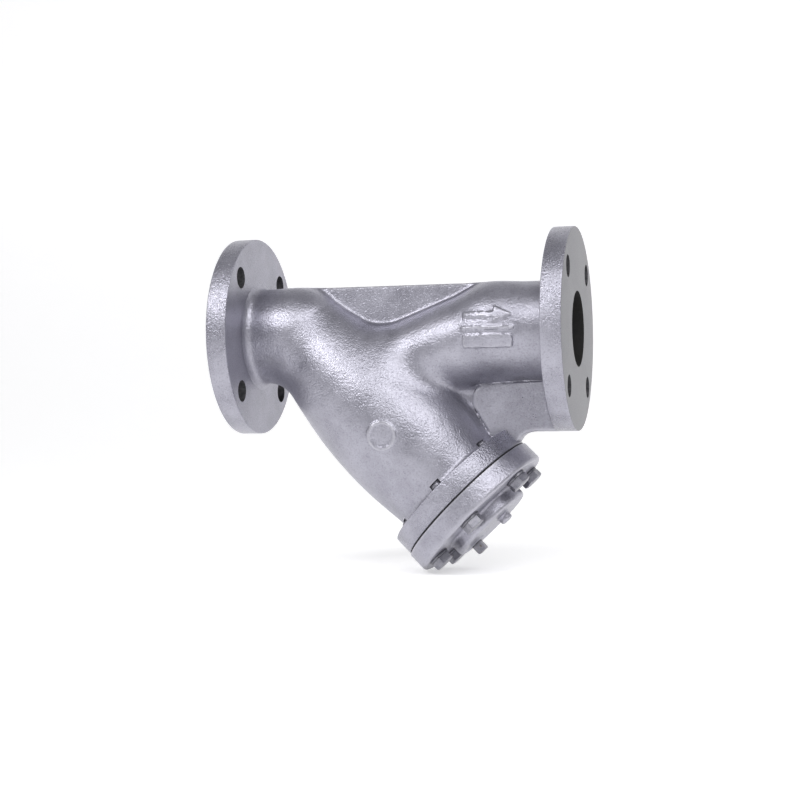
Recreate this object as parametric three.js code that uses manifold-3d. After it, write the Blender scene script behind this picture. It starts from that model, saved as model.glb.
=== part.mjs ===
// Flanged Y-pattern pipe strainer: cast body, bolted branch cover, basket screen, bolts and drain plug.
// Millimetres. +X is the flow direction along the pipe axis, +Z is up, the origin is midway between
// the two flange faces. The branch runs down and downstream at 45 degrees in the XZ plane.
import * as THREE from 'three';
import { mergeVertices } from 'three/addons/utils/BufferGeometryUtils.js';
import Module from 'manifold-3d';

const wasm = await Module();
wasm.setup();

// Pipe run
const FACE_X = 153;
const FLANGE_R = 87.5;
const FLANGE_T = 18;
const BORE_R = 32.5;
const NECK_R = 42.3;
const BOLT_CIRCLE_R = 70;
const BOLT_HOLE_R = 9.5;
const BACK_X = FACE_X - FLANGE_T;

// Branch: s runs from the point where its axis leaves the pipe axis, down to the cover
const BRANCH_X = -91.3;
const BRANCH_ANGLE = Math.PI / 4;
const ELBOW_X = -104;
const OUTLET_BEND_X = 85;
const SEAT_S = 42;
const BARREL_SPLIT_S = 104;
const FLANGE_BACK_S = 188.5;
const BODY_FACE_S = 206;
const GASKET_T = 1.5;
const GASKET_GAP = 0.03;
const COVER_BACK_S = BODY_FACE_S + GASKET_T;
const COVER_FACE_S = 225.5;
const HUB_TOP_S = 238;
const BRANCH_FLANGE_R = 68.5;
const COVER_R = 69.8;
const CHAMBER_R = 47;

// Cover bolts, M10
const COVER_BOLTS = 6;
const COVER_BOLT_CIRCLE_R = 55;
const SHANK_R = 5;
const SHANK_END_S = 184.5;
const WASHER_T = 2;
const HEAD_H = 7;
const HEAD_ACROSS_FLATS = 17;

// Screen basket
const SCREEN_R = 37.5;
const SHEET_T = 1;
const SCREEN_TOP_S = 43.5;
const SCREEN_END_S = 220;
const STAVES = 8;

// Drain plug, below the branch axis so that the lowest point of the cover drains
const DRAIN_V = -22;

const WEB_HALF_T = 5.5;
const SEGMENTS = 32;
const SMALL_SEGMENTS = 12;

const TO_PIPE = new THREE.Matrix4().makeBasis(
  new THREE.Vector3(0, 0, 1),
  new THREE.Vector3(0, -1, 0),
  new THREE.Vector3(1, 0, 0),
);
const TO_BRANCH = new THREE.Matrix4().makeBasis(
  new THREE.Vector3(Math.sin(BRANCH_ANGLE), 0, Math.cos(BRANCH_ANGLE)),
  new THREE.Vector3(0, -1, 0),
  new THREE.Vector3(Math.cos(BRANCH_ANGLE), 0, -Math.sin(BRANCH_ANGLE)),
).setPosition(BRANCH_X, 0, 0);

// A body turned from [station, radius] pairs about local Z.
function turned(profile, segments = SEGMENTS) {
  const points = profile.map(([station, radius]) => new THREE.Vector2(radius, station));
  return new THREE.LatheGeometry(points, segments).rotateX(Math.PI / 2);
}

function rod(from, to, radius, segments = SEGMENTS) {
  return turned([[from, 0], [from, radius], [to, radius], [to, 0]], segments);
}

// A closed ring of rectangular section.
function ring(from, to, inner, outer, segments = SEGMENTS) {
  return turned([[from, inner], [from, outer], [to, outer], [to, inner], [from, inner]], segments);
}

function onPipe(geometry) {
  return geometry.applyMatrix4(TO_PIPE);
}

function onBranch(geometry) {
  return geometry.applyMatrix4(TO_BRANCH);
}

function ball(radius, x, z) {
  return new THREE.SphereGeometry(radius, SEGMENTS, SEGMENTS / 2).rotateX(Math.PI / 2).translate(x, 0, z);
}

function solid(geometry) {
  const bare = geometry.clone();
  bare.deleteAttribute('normal');
  bare.deleteAttribute('uv');
  const welded = mergeVertices(bare, 1e-4);
  return new wasm.Manifold(new wasm.Mesh({
    numProp: 3,
    vertProperties: new Float32Array(welded.attributes.position.array),
    triVerts: new Uint32Array(welded.index.array),
  }));
}

function union(geometries) {
  return geometries.map(solid).reduce((sum, next) => sum.add(next));
}

function geometryOf(manifold) {
  const mesh = manifold.getMesh();
  const geometry = new THREE.BufferGeometry();
  geometry.setAttribute('position', new THREE.BufferAttribute(new Float32Array(mesh.vertProperties), 3));
  geometry.setIndex(new THREE.BufferAttribute(new Uint32Array(mesh.triVerts), 1));
  geometry.computeVertexNormals();
  return geometry;
}

// Points spaced evenly round a circle, as [x, y] pairs.
function around(count, radius, phase = 0) {
  return Array.from({ length: count }, (_, index) => {
    const angle = phase + (index * 2 * Math.PI) / count;
    return [radius * Math.cos(angle), radius * Math.sin(angle)];
  });
}

const FLANGE_HOLES = around(4, BOLT_CIRCLE_R, Math.PI / 4);
const COVER_BOLT_SPOTS = around(COVER_BOLTS, COVER_BOLT_CIRCLE_R, Math.PI / 6);

function holes(spots, from, to, radius) {
  return spots.map(([x, y]) => rod(from, to, radius, SMALL_SEGMENTS).translate(x, y, 0));
}

// A flat rib lying in the XZ plane, from an outline of [x, z] points.
function rib(outline) {
  const shape = new THREE.Shape(outline.map(([x, z]) => new THREE.Vector2(x, z)));
  return new THREE.ExtrudeGeometry(shape, { depth: 2 * WEB_HALF_T, bevelEnabled: false })
    .rotateX(Math.PI / 2)
    .translate(0, WEB_HALF_T, 0);
}

// The outlet passage drops from the pipe axis into the side of the screen chamber.
function outletPassage(pipeRadius, chamberRadius, end, outerX) {
  const bend = new THREE.Vector2(OUTLET_BEND_X, 0);
  const drop = new THREE.Vector2(end[0], end[1]).sub(bend);
  const length = drop.length();
  const cone = turned([[0, 0], [0, pipeRadius], [length, chamberRadius], [length, 0]])
    .rotateY(Math.atan2(drop.x, drop.y))
    .translate(bend.x, 0, bend.y);
  return [
    onPipe(rod(bend.x, outerX, pipeRadius)),
    ball(pipeRadius, bend.x, bend.y),
    cone,
    ball(chamberRadius, end[0], end[1]),
  ];
}

// The body is one casting. It is handed over as regions that meet face to face without overlapping, so that
// each region stays a simple hollow shape: every later region gives way to the earlier ones.
function bodyRegions() {
  const flange = [[BACK_X, 0], [BACK_X, FLANGE_R - 1], [BACK_X + 1, FLANGE_R], [FACE_X - 1, FLANGE_R],
    [FACE_X, FLANGE_R - 1], [FACE_X, 0]];
  const hub = [[BACK_X - 6, 0], [BACK_X - 6, NECK_R], [BACK_X, NECK_R + 5], [BACK_X, 0]];
  const barrel = [[-25, 0], [-25, 33], [0, 39.7], [22, 45.4], [43, 50.2], [63, 53.8], [82, 56.8], [100, 58.5],
    [120, 59.2], [140, 59], [160, 57.4], [178, 55.2], [184, 55.6], [FLANGE_BACK_S, 59], [FLANGE_BACK_S, 0]];
  const topRib = [[-106, 20], [-106, 42], [86, 42], [60, 18], [10, -20], [-20, -20]];
  const lowRib = [[45, -35], [BACK_X, -35], [BACK_X, -87], [116, -87], [111, -88], [107, -91],
    [104.5, -95], [96, -98], [84, -94], [60, -75], [40, -52]];
  const outers = {
    inlet_flange: [onPipe(turned(flange)).rotateZ(Math.PI)],
    outlet_flange: [onPipe(turned(flange))],
    branch_flange: [onBranch(rod(FLANGE_BACK_S, BODY_FACE_S, BRANCH_FLANGE_R))],
    barrel: [onBranch(turned(barrel))],
    inlet_neck: [
      onPipe(turned(hub)).rotateZ(Math.PI),
      onPipe(rod(-BACK_X, ELBOW_X, NECK_R)),
      ball(NECK_R, ELBOW_X, 0),
    ],
    outlet_neck: outletPassage(NECK_R, 34, [-2, -25], BACK_X),
    top_rib: [rib(topRib)],
    bottom_rib: [rib(lowRib)],
  };
  const chamber = [[SEAT_S, 0], [SEAT_S, 38.9], [51, 38.9], [59, 44], [72, 47], [95, 49.5], [120, 50.2],
    [140, 50], [165, 48.5], [185, CHAMBER_R], [BODY_FACE_S + 1, CHAMBER_R], [BODY_FACE_S + 1, 0]];
  const hollow = union([
    onPipe(rod(-FACE_X - 1, BRANCH_X, BORE_R)),
    ball(BORE_R, BRANCH_X, 0),
    onBranch(rod(0, SEAT_S + 1, BORE_R)),
    onBranch(turned(chamber)),
    ...outletPassage(BORE_R, 26, [6, -26], FACE_X + 1),
    ...holes(FLANGE_HOLES, BACK_X - 8, FACE_X + 1, BOLT_HOLE_R).map(onPipe),
    ...holes(FLANGE_HOLES, -FACE_X - 1, -BACK_X + 8, BOLT_HOLE_R).map(onPipe),
    ...holes(COVER_BOLT_SPOTS, FLANGE_BACK_S - 5, BODY_FACE_S + 1, SHANK_R + 0.3).map(onBranch),
  ]);
  const regions = {};
  let taken = hollow;
  for (const [name, geometries] of Object.entries(outers)) {
    const outer = union(geometries);
    regions[name] = outer.subtract(taken);
    taken = taken.add(outer);
  }
  const upperHalf = solid(onBranch(rod(-60, BARREL_SPLIT_S, 90, 8)));
  regions.barrel_head = regions.barrel.intersect(upperHalf);
  regions.barrel_skirt = regions.barrel.subtract(upperHalf);
  delete regions.barrel;
  return regions;
}

// The largest separate body of a solid; a cut can leave slivers beside it.
function mainBody(manifold) {
  return manifold.decompose().reduce((best, next) => (next.volume() > best.volume() ? next : best));
}

function coverCasting() {
  const plate = [[COVER_BACK_S, 0], [COVER_BACK_S, COVER_R - 1], [COVER_BACK_S + 1, COVER_R],
    [COVER_FACE_S - 1.5, COVER_R], [COVER_FACE_S, COVER_R - 1.5], [COVER_FACE_S, 40], [COVER_FACE_S + 2, 38.5],
    [HUB_TOP_S - 2, 37.5], [HUB_TOP_S, 35.5], [HUB_TOP_S, 0]];
  const pad = [[HUB_TOP_S - 1, 0], [HUB_TOP_S - 1, 9.5], [HUB_TOP_S + 1, 8.5], [HUB_TOP_S + 1, 0]];
  const pip = [[HUB_TOP_S - 1, 0], [HUB_TOP_S - 1, 6], [HUB_TOP_S + 5, 5.5], [HUB_TOP_S + 6.5, 4],
    [HUB_TOP_S + 6.5, 0]];
  const pocket = [[COVER_BACK_S - 1, 0], [COVER_BACK_S - 1, SCREEN_R + 1.3], [222, SCREEN_R + 1.3],
    [222, 31], [228, 30], [231, 27], [231, 0]];
  const shell = union([
    turned(plate),
    turned(pad, 24).translate(DRAIN_V, 0, 0),
    turned(pip, SMALL_SEGMENTS).translate(12, 0, 0),
  ]);
  const hollow = union([
    turned(pocket),
    rod(230, HUB_TOP_S + 2, 6.6, SMALL_SEGMENTS).translate(DRAIN_V, 0, 0),
    ...holes(COVER_BOLT_SPOTS, COVER_BACK_S - 1, COVER_FACE_S + 1, SHANK_R + 0.7),
  ]);
  return onBranch(geometryOf(shell.subtract(hollow)));
}

function coverGasket() {
  const sheet = solid(ring(BODY_FACE_S + GASKET_GAP, COVER_BACK_S - GASKET_GAP, CHAMBER_R, 67.3));
  const punched = holes(COVER_BOLT_SPOTS, BODY_FACE_S - 1, COVER_BACK_S + 1, SHANK_R + 0.8);
  return onBranch(geometryOf(sheet.subtract(union(punched))));
}

// Rolled perforated sheet, with six-sided openings in staggered rows.
function wedge(from, to, start, end, reach) {
  const edge = (angle) => new THREE.Vector2(reach * Math.cos(angle), reach * Math.sin(angle));
  const outline = new THREE.Shape([new THREE.Vector2(0, 0), edge(start), edge(end)]);
  return new THREE.ExtrudeGeometry(outline, { depth: to - from, bevelEnabled: false }).translate(0, 0, from);
}

// One of the equal staves that the rolled screen sheet is divided into
function screenStave(index) {
  const rows = 7;
  const step = (2 * Math.PI) / STAVES;
  const start = index * step;
  const pitch = (SCREEN_END_S - SCREEN_TOP_S - 24) / (rows - 1);
  const openings = [];
  for (let row = 0; row < rows; row += 1) {
    openings.push(new THREE.CylinderGeometry(6, 6, 6, 6)
      .rotateZ(Math.PI / 2)
      .translate(SCREEN_R, 0, 0)
      .rotateZ(start + step * (row % 2 ? 0.7 : 0.3))
      .translate(0, 0, SCREEN_TOP_S + 12 + row * pitch));
  }
  const sheet = solid(ring(SCREEN_TOP_S, SCREEN_END_S, SCREEN_R - SHEET_T, SCREEN_R, 24));
  const sector = solid(wedge(SCREEN_TOP_S - 1, SCREEN_END_S + 1, start, start + step, SCREEN_R + 9));
  return onBranch(geometryOf(sheet.subtract(union(openings)).intersect(sector)));
}

// Fine mesh lining the inside of the perforated sheet.
function meshLiner() {
  return onBranch(ring(SCREEN_TOP_S, SCREEN_END_S, SCREEN_R - 2.4, SCREEN_R - SHEET_T - 0.8, 24));
}

// End ring: a flat washer face with a short skirt over the sheet. The face is at `face`.
function screenRing(face, inward) {
  const back = face + 1.5 * inward;
  const skirt = face + 8 * inward;
  const profile = [[face, 34], [face, SCREEN_R + 1], [skirt, SCREEN_R + 1], [skirt, SCREEN_R + 0.2],
    [back, SCREEN_R + 0.2], [back, 34], [face, 34]];
  return onBranch(turned(inward > 0 ? profile : profile.reverse(), 24));
}

function coverBolt([x, y]) {
  const under = COVER_FACE_S + WASHER_T;
  const top = under + HEAD_H;
  const corner = HEAD_ACROSS_FLATS / Math.sqrt(3);
  const shank = turned([[SHANK_END_S, 0], [SHANK_END_S, SHANK_R - 1], [SHANK_END_S + 1, SHANK_R],
    [under + 1, SHANK_R], [under + 1, 0]], SMALL_SEGMENTS);
  const head = new THREE.CylinderGeometry(corner, corner, HEAD_H, 6)
    .rotateX(Math.PI / 2)
    .translate(0, 0, under + HEAD_H / 2);
  const dome = turned([[under - 1, 0], [under - 1, 11], [top - 1.6, 11], [top, 8.2], [top, 0]], 18);
  const trimmed = solid(head).intersect(solid(dome));
  return onBranch(geometryOf(solid(shank).add(trimmed)).translate(x, y, 0));
}

function boltWasher([x, y]) {
  return onBranch(ring(COVER_FACE_S, COVER_FACE_S + WASHER_T, SHANK_R + 0.4, 9.6, 16).translate(x, y, 0));
}

function drainPlug() {
  const seat = HUB_TOP_S + 1;
  const thread = turned([[231.5, 0], [231.5, 5.6], [seat + 0.3, 6.1], [seat + 0.3, 0]], SMALL_SEGMENTS);
  const square = new THREE.BoxGeometry(9, 9, 8.6).translate(0, 0, seat + 0.3 + 4.2);
  return onBranch(geometryOf(solid(thread).add(solid(square))).translate(DRAIN_V, 0, 0));
}

const part = new THREE.Group();

function addPiece(name, geometry, colour, roughness, metalness) {
  const mesh = new THREE.Mesh(geometry, new THREE.MeshStandardMaterial({ color: colour, roughness, metalness }));
  mesh.name = name;
  part.add(mesh);
}

for (const [name, region] of Object.entries(bodyRegions())) {
  addPiece(name, geometryOf(mainBody(region)), 0xa8a6b0, 0.45, 0.5);
}
addPiece('cover', coverCasting(), 0xa2a0a8, 0.45, 0.5);
addPiece('cover_gasket', coverGasket(), 0x18181a, 0.8, 0);
for (let index = 0; index < STAVES; index += 1) {
  addPiece(`screen_stave_${index + 1}`, screenStave(index), 0xc4c6c8, 0.3, 0.9);
}
addPiece('screen_mesh_liner', meshLiner(), 0xb0b2b4, 0.4, 0.9);
addPiece('screen_inlet_ring', screenRing(SEAT_S, 1), 0xc4c6c8, 0.3, 0.9);
addPiece('screen_cover_ring', screenRing(SCREEN_END_S + 1.5, -1), 0xc4c6c8, 0.3, 0.9);
COVER_BOLT_SPOTS.forEach((spot, index) => {
  addPiece(`cover_bolt_${index + 1}`, coverBolt(spot), 0xb4b2ba, 0.35, 0.8);
  addPiece(`bolt_washer_${index + 1}`, boltWasher(spot), 0xb4b2ba, 0.35, 0.8);
});
addPiece('drain_plug', drainPlug(), 0xa8a6a4, 0.4, 0.7);

export default part;
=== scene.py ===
"""Flanged Y-pattern strainer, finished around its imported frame. Shapes are worked out in millimetres.

World: +X along the flow, +Z up, origin midway between the flange faces. The branch has its own frame:
s runs down its axis from the pipe axis, v points up and downstream across it, and w is -Y.
"""
import math

import bmesh
import bpy
import numpy as np
from mathutils import Matrix, Vector, noise


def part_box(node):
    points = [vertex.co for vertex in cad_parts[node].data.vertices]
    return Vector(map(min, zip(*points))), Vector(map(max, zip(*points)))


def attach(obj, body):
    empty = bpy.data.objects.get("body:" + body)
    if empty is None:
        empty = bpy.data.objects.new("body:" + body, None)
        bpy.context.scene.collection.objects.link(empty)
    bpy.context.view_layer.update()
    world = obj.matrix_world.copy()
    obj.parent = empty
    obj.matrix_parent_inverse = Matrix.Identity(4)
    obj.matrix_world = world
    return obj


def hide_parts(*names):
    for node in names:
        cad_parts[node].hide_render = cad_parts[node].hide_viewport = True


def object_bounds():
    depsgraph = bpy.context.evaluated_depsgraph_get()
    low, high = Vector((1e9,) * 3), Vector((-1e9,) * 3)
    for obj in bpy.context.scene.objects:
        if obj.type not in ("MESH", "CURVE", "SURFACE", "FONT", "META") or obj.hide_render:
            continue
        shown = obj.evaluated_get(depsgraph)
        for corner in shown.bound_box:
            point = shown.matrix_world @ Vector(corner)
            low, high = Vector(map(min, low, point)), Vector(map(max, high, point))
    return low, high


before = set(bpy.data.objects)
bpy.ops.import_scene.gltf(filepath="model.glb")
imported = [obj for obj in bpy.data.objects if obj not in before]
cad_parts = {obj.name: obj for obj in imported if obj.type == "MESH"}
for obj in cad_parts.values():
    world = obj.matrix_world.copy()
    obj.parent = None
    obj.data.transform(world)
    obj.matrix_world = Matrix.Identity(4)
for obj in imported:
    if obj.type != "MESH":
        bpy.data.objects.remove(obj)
cad_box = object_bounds()

MM = 0.001

# Stage and camera, in metres and degrees
FLOOR_END_Y = 1.4
COVE_R = 0.8
CAMERA_PLACE = (0.356758, -1.299247, -0.068621)
CAMERA_ANGLES = (15.59, -0.414, -0.657)
CAMERA_LENS = 68.82

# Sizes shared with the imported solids: radii end in R, stations down the branch in S, thicknesses in T
OUTLET_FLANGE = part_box("outlet_flange")
FACE_X = OUTLET_FLANGE[1][0] / MM
BACK_X = OUTLET_FLANGE[0][0] / MM
FLANGE_R = OUTLET_FLANGE[1][2] / MM
BORE_R = 32.5
NECK_R = 42.3
BOLT_CIRCLE_R = 70.0
BOLT_HOLE_R = 9.5
BRANCH_X = -91.3
DIAGONAL = math.sqrt(0.5)
ELBOW_X = -104.0
OUTLET_BEND_X = 85.0
OUTLET_END = (-2.0, -25.0)
OUTLET_END_R = 34.0
SEAT_S = 42.0
FLANGE_BACK_S = 188.5
BODY_FACE_S = 206.0
COVER_BACK_S = 207.5
COVER_FACE_S = 225.5
HUB_TOP_S = 238.0
BRANCH_FLANGE_R = 68.5
COVER_R = 69.8
CHAMBER_R = 47.0
COVER_BOLTS = 6
COVER_BOLT_CIRCLE_R = 55.0
SHANK_R = 5.0
SHANK_END_S = 184.5
WASHER_T = 2.0
HEAD_H = 7.0
HEAD_ACROSS_FLATS = 17.0
SCREEN_R = 37.5
SHEET_T = 1.0
SCREEN_TOP_S = 43.5
SCREEN_END_S = 220.0
SCREEN_STAVES = 8
DRAIN_V = -22.0
PIP_V = 12.0
THREAD_PITCH = 1.5

# Cast body: station and radius pairs down the branch, outside and inside
BARREL = ((-25, 33), (0, 39.7), (22, 45.4), (43, 50.2), (63, 53.8), (82, 56.8), (100, 58.4),
          (120, 59.2), (140, 59.0), (160, 57.4), (178, 55.2), (200, 54))
CHAMBER = ((42, 38.7), (51, 38.7), (59, 44), (72, 47), (95, 49.5), (120, 50.2), (140, 50),
           (165, 48.5), (185, 46.8), (215, 46.8))
# Raised flat pads on the mid-plane ribs, as (x, z, corner radius)
TOP_PAD = ((-89.7, 42.0, 0.8), (-20.6, 3.7, 25), (76.7, 42.0, 0.8))
TOP_RIB = ((-106, 42.0, 0.5), (-106, 20, 0), (-20, -18, 5), (60, 10, 0), (84, 42.0, 0.5))
LOW_PAD = ((140, -43.7, 0), (62.6, -46.4, 11), (62.0, -64, 9), (82, -98, 3), (98, -101, 2),
           (106, -89, 12), (116, -87.2, 1), (140, -87.2, 0))
LOW_RIB = ((140, -35, 0), (45, -35, 0), (40, -52, 0), (60, -80, 0), (84, -99, 2), (96, -99, 2),
           (106.5, -87.0, 12), (140, -87.0, 0))
CROWN_Z = 42.6
RIB_HALF_T = 3.0
TOP_PAD_HALF_T = 5.4
LOW_PAD_HALF_T = 9.5
# Marks cast on the front: a flow arrow, a bar and a blank plate on the outlet, a blank disc on the barrel
ARROW = ((61, 9.8), (88, 9.8), (88, 5.0), (104, 12.0), (88, 19.0), (88, 14.2), (61, 14.2))
BAR = ((60, -0.6), (105, -0.6), (105, 2.2), (60, 2.2))
BLANK = ((61, -16, 2), (104, -16, 2), (104, -5, 2), (61, -5, 2))
DISC_S = 123.4
DISC_V = -3.2
DISC_R = 13.0
MARK_HEIGHT = 1.0
VOXEL = 1.4

BRANCH = Matrix((
    (DIAGONAL, 0, DIAGONAL, BRANCH_X),
    (0, -1, 0, 0),
    (DIAGONAL, 0, -DIAGONAL, 0),
    (0, 0, 0, 1),
))
PIPE_OUT = Matrix(((0, 0, 1, 0), (0, -1, 0, 0), (1, 0, 0, 0), (0, 0, 0, 1)))
PIPE_IN = Matrix(((0, 0, -1, 0), (0, 1, 0, 0), (1, 0, 0, 0), (0, 0, 0, 1)))


# ---------------------------------------------------------------- distance fields, in millimetres

def blend_min(a, b, width):
    """Union of two fields with a fillet about as wide as width."""
    h = np.maximum(width - np.abs(a - b), 0) / width
    return np.minimum(a, b) - h * h * width / 4


def radius_table(pairs, smooth):
    """A smooth radius for every station, from a few pairs."""
    stations = np.arange(pairs[0][0] - 20, pairs[-1][0] + 20, 0.5)
    radii = np.interp(stations, *zip(*pairs))
    offsets = np.arange(-3 * smooth, 3 * smooth + 0.1, 0.5)
    weights = np.exp(-0.5 * (offsets / smooth) ** 2)
    padded = np.pad(radii, len(offsets) // 2, mode="edge")
    return stations, np.convolve(padded, weights / weights.sum(), mode="valid")


BARREL_TABLE = radius_table(BARREL, 7.0)
CHAMBER_TABLE = radius_table(CHAMBER, 1.2)


def flare(gap, radius):
    """Extra neck radius at a gap from a flange's back face, for a fillet of that radius."""
    reach = np.clip(radius - gap, 0, radius * 0.999)
    return radius - np.sqrt(radius * radius - reach * reach)


def rounded_outline(corners):
    """An outline's points, with each corner turned into an arc of its own radius."""
    points = []
    count = len(corners)
    for index, (x, z, radius) in enumerate(corners):
        here = Vector((x, z))
        before = (Vector(corners[index - 1][:2]) - here).normalized()
        after = (Vector(corners[(index + 1) % count][:2]) - here).normalized()
        half = before.angle(after) / 2
        if radius <= 0:
            points.append(here)
            continue
        reach = radius / math.tan(half)
        centre = here + (before + after).normalized() * radius / math.sin(half)
        start = here + before * reach - centre
        end = here + after * reach - centre
        turn = start.angle_signed(end)
        steps = max(2, round(abs(turn) * radius / 1.5))
        for step in range(steps + 1):
            angle = -turn * step / steps
            points.append(centre + Matrix.Rotation(angle, 2) @ start)
    return np.array([tuple(p) for p in points])


def outline_distance(x, z, outline):
    """Signed distance in the XZ plane to a closed outline, negative inside."""
    nearest = np.full(x.shape, 1e9)
    inside = np.zeros(x.shape, bool)
    for (ax, az), (bx, bz) in zip(outline, np.roll(outline, -1, axis=0)):
        ex, ez = bx - ax, bz - az
        px, pz = x - ax, z - az
        along = np.clip((px * ex + pz * ez) / (ex * ex + ez * ez + 1e-12), 0, 1)
        nearest = np.minimum(nearest, (px - along * ex) ** 2 + (pz - along * ez) ** 2)
        if az != bz:
            crosses = (az > z) != (bz > z)
            inside ^= crosses & (x < ax + (z - az) * ex / ez)
    return np.where(inside, -1, 1) * np.sqrt(nearest)


def plate(flat, y, half, edge):
    """A plate on the mid-plane from its outline's distance, with rounded edges."""
    out = flat + edge
    up = np.abs(y) - half + edge
    return np.hypot(np.maximum(out, 0), np.maximum(up, 0)) + np.minimum(np.maximum(out, up), 0) - edge


OUTLINES = {name: rounded_outline(corners) for name, corners in
            (("top_pad", TOP_PAD), ("top_rib", TOP_RIB), ("low_pad", LOW_PAD), ("low_rib", LOW_RIB))}
MARKS = (np.array(ARROW), np.array(BAR), rounded_outline(BLANK))


def outlet_field(x, y, z, pipe_r, end, end_r, fillet):
    """The outlet passage: straight at the flange, then dropping into the chamber's side."""
    straight = np.sqrt(np.minimum(x - OUTLET_BEND_X, 0) ** 2 + y * y + z * z) - pipe_r
    if fillet:
        straight = straight - flare(BACK_X - x, fillet)
    ax, az = end[0] - OUTLET_BEND_X, end[1]
    along = np.clip(((x - OUTLET_BEND_X) * ax + z * az) / (ax * ax + az * az), 0, 1)
    drop = np.sqrt((x - OUTLET_BEND_X - along * ax) ** 2 + y * y + (z - along * az) ** 2)
    drop = drop - pipe_r - (end_r - pipe_r) * along
    return blend_min(straight, drop, 8.0)


def branch_place(p):
    """World coordinates, then the station, height and distance from the branch's axis."""
    x, y, z = p[..., 0], p[..., 1], p[..., 2]
    s = (x - BRANCH_X - z) * DIAGONAL
    v = (x - BRANCH_X + z) * DIAGONAL
    return x, y, z, s, v, np.sqrt(v * v + y * y)


def marks_field(field, p):
    """The casting's skin lifted inside each mark's outline, on the front only."""
    x, y, z, s, v, _ = branch_place(p)
    near = np.abs(field) < 6
    region = np.full(x.shape, 99.0)
    flat = np.hypot(s[near] - DISC_S, v[near] - DISC_V) - DISC_R
    flat = np.maximum(flat, -np.minimum(flat + 3.2, 1.6))
    for outline in MARKS:
        flat = np.minimum(flat, outline_distance(x[near], z[near], outline))
    region[near] = flat
    return blend_min(field, np.maximum(np.maximum(field - MARK_HEIGHT, region), y + 12), 0.8)


def hollow_field(p):
    """The flow passage and the screen's chamber."""
    x, y, z, s, v, across = branch_place(p)
    bore = np.sqrt(np.maximum(x - BRANCH_X, 0) ** 2 + y * y + z * z) - BORE_R + 0.5
    throat = np.sqrt(np.minimum(s, 0) ** 2 + across * across) - BORE_R + 0.5
    throat = np.maximum(throat, s - SEAT_S - 2)
    chamber = np.maximum(across - np.interp(s, *CHAMBER_TABLE), SEAT_S - s)
    exit_way = outlet_field(x, y, z, BORE_R - 0.5, (6.0, -26.0), 26.0, 0)
    return np.minimum(blend_min(bore, throat, 5.0), blend_min(chamber, exit_way, 5.0))


def body_field(p):
    """The cast body without its flanges, hollow."""
    x, y, z, s, v, across = branch_place(p)
    neck = np.sqrt(np.maximum(x - ELBOW_X, 0) ** 2 + y * y + z * z) - NECK_R - flare(x + BACK_X, 7.0)
    barrel = np.sqrt(np.minimum(s, 0) ** 2 + across * across)
    barrel = barrel - np.interp(np.maximum(s, 0), *BARREL_TABLE) - flare(FLANGE_BACK_S - s, 4.5)
    barrel = np.maximum(barrel, s - FLANGE_BACK_S - 5)
    outlet = outlet_field(x, y, z, NECK_R, OUTLET_END, OUTLET_END_R, 4.0)
    field = blend_min(blend_min(neck, barrel, 16.0), outlet, 18.0)
    flats = {name: outline_distance(x, z, outline) for name, outline in OUTLINES.items()}
    field = blend_min(field, plate(flats["top_rib"], y, RIB_HALF_T, 1.2), 8.0)
    field = blend_min(field, plate(flats["low_rib"], y, RIB_HALF_T, 1.2), 12.0)
    field = blend_min(field, plate(flats["top_pad"], y, TOP_PAD_HALF_T, 1.3), 1.5)
    field = blend_min(field, plate(flats["low_pad"], y, LOW_PAD_HALF_T, 1.6), 1.5)
    crown = z - CROWN_Z - 2 * np.maximum(np.abs(x) - 122, 0)
    field = -blend_min(-field, -crown, 2.0)
    field = marks_field(field, p)
    field = np.maximum(field, np.abs(x) - BACK_X - 5)
    return np.maximum(field, -hollow_field(p))


def puck(across, s, top, radius, edge):
    """A round boss with a rounded top edge, endless below."""
    out = across - radius + edge
    up = s - top + edge
    return np.hypot(np.maximum(out, 0), np.maximum(up, 0)) + np.minimum(np.maximum(out, up), 0) - edge


def cover_field(p):
    """The cover casting in the branch's frame: plate, hub, plug pad and pip, solid behind its back."""
    v, w, s = p[..., 0], p[..., 1], p[..., 2]
    across = np.hypot(v, w)
    field = puck(across, s, COVER_FACE_S, COVER_R - 0.15, 2.7)
    field = blend_min(field, puck(across, s, HUB_TOP_S, 38.2, 3.0), 4.0)
    field = blend_min(field, puck(np.hypot(v - DRAIN_V, w), s, HUB_TOP_S + 1, 9.3, 0.8), 1.6)
    field = blend_min(field, puck(np.hypot(v - PIP_V, w), s, HUB_TOP_S + 6.4, 5.7, 1.8), 2.4)
    return np.maximum(field, COVER_BACK_S - 2 - s)


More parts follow.
